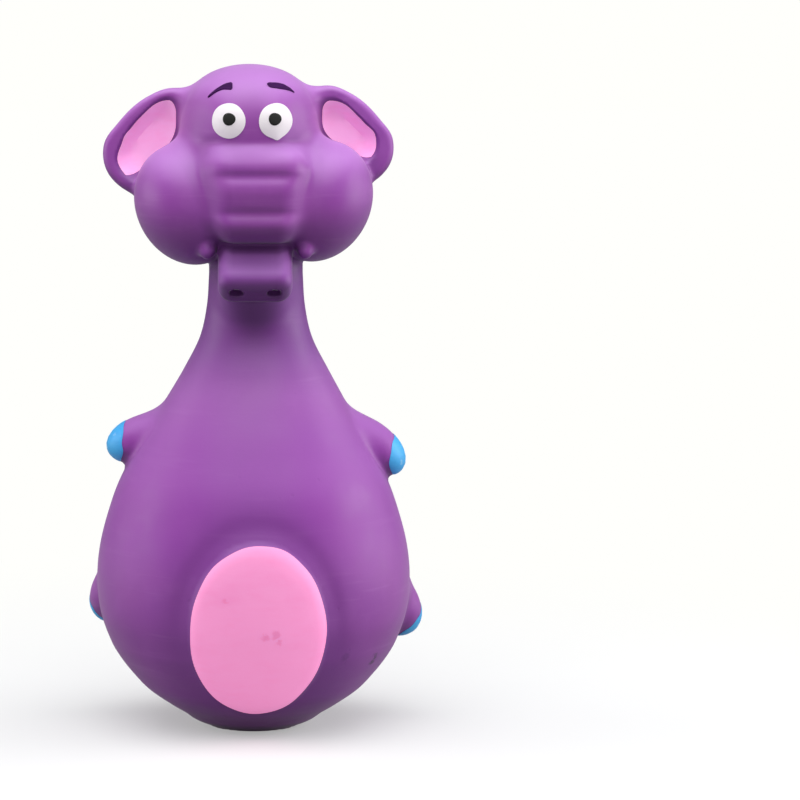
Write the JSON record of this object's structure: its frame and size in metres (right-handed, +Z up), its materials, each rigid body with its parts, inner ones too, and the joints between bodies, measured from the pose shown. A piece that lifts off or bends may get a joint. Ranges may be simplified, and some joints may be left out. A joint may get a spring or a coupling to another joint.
{
  "type": "squeaky dog toy",
  "caption": "Hollow latex squeaky dog toy: a sitting elephant with a pear-shaped body, flexing neck and ears, a press-in belly, stub limbs and a squeaker in its flat base.",
  "frame": {"origin": "centre of the flat base that the toy stands on, on the supporting surface", "axes": "+Z up through the crown, +Y to the toy's back, so the face looks along -Y, and +X to the toy's own left"},
  "size_m": [0.0647, 0.0562, 0.125],
  "materials": {
    "purple_latex": "satin",
    "pink_paint": "satin",
    "white_paint": "satin",
    "black_paint": "satin",
    "dark_purple_paint": "satin",
    "blue_paint": "satin",
    "white_wadding": "matte",
    "white_plastic": "satin",
    "reed_brass": "satin"
  },
  "bodies": {
    "torso": {"body_skin": "purple_latex", "neck_skin": "purple_latex", "arm_left": "purple_latex", "arm_left_paint": "blue_paint", "arm_right": "purple_latex", "arm_right_paint": "blue_paint", "leg_left": "purple_latex", "leg_left_paint": "blue_paint", "leg_right": "purple_latex", "leg_right_paint": "blue_paint", "body_filling": "white_wadding", "neck_filling": "white_wadding", "squeaker_housing": "white_plastic", "squeaker_cap": "white_plastic", "fibre_guard": "white_wadding", "seal_ring": "purple_latex", "reed_tube": "white_plastic", "reed_clamp": "white_plastic"},
    "belly": {"belly_wall": "purple_latex", "belly_patch": "pink_paint"},
    "head": {"head_skin": "purple_latex", "trunk_tip": "purple_latex", "eye_white_left": "white_paint", "eye_white_right": "white_paint", "pupil_left": "black_paint", "pupil_right": "black_paint", "eyebrow_left": "dark_purple_paint", "eyebrow_right": "dark_purple_paint", "head_filling": "white_wadding"},
    "ear_left": {"ear_left": "purple_latex", "ear_lining_left": "pink_paint"},
    "ear_right": {"ear_right": "purple_latex", "ear_lining_right": "pink_paint"},
    "reed": {"reed": "reed_brass"}
  },
  "joints": [
    {"name": "belly_squeeze", "type": "slide", "parent": "torso", "child": "belly", "axis": [0, 1, 0], "range_m": [0, 0.0055], "stiffness_N_per_m": 1500, "deforming": ["body_filling"]},
    {"name": "neck_bend", "type": "hinge", "parent": "torso", "child": "head", "pos_m": [0, 0, 0.07], "axis": [1, 0, 0], "range_deg": [-15, 15], "stiffness_Nm_per_rad": 0.5, "deforming": ["neck_skin", "neck_filling"]},
    {"name": "ear_left_flex", "type": "hinge", "parent": "head", "child": "ear_left", "pos_m": [0.01351, 0.00033, 0.10916], "axis": [0.454, 0, -0.891], "range_deg": [-12, 12], "stiffness_Nm_per_rad": 0.02},
    {"name": "ear_right_flex", "type": "hinge", "parent": "head", "child": "ear_right", "pos_m": [-0.01501, 0.00033, 0.10816], "axis": [-0.454, 0, -0.891], "range_deg": [-12, 12], "stiffness_Nm_per_rad": 0.02},
    {"name": "reed_buzz", "type": "hinge", "parent": "torso", "child": "reed", "pos_m": [0, -0.00135, 0.0045], "axis": [1, 0, 0], "range_deg": [-4, 4], "stiffness_Nm_per_rad": 0.0001}
  ]
}
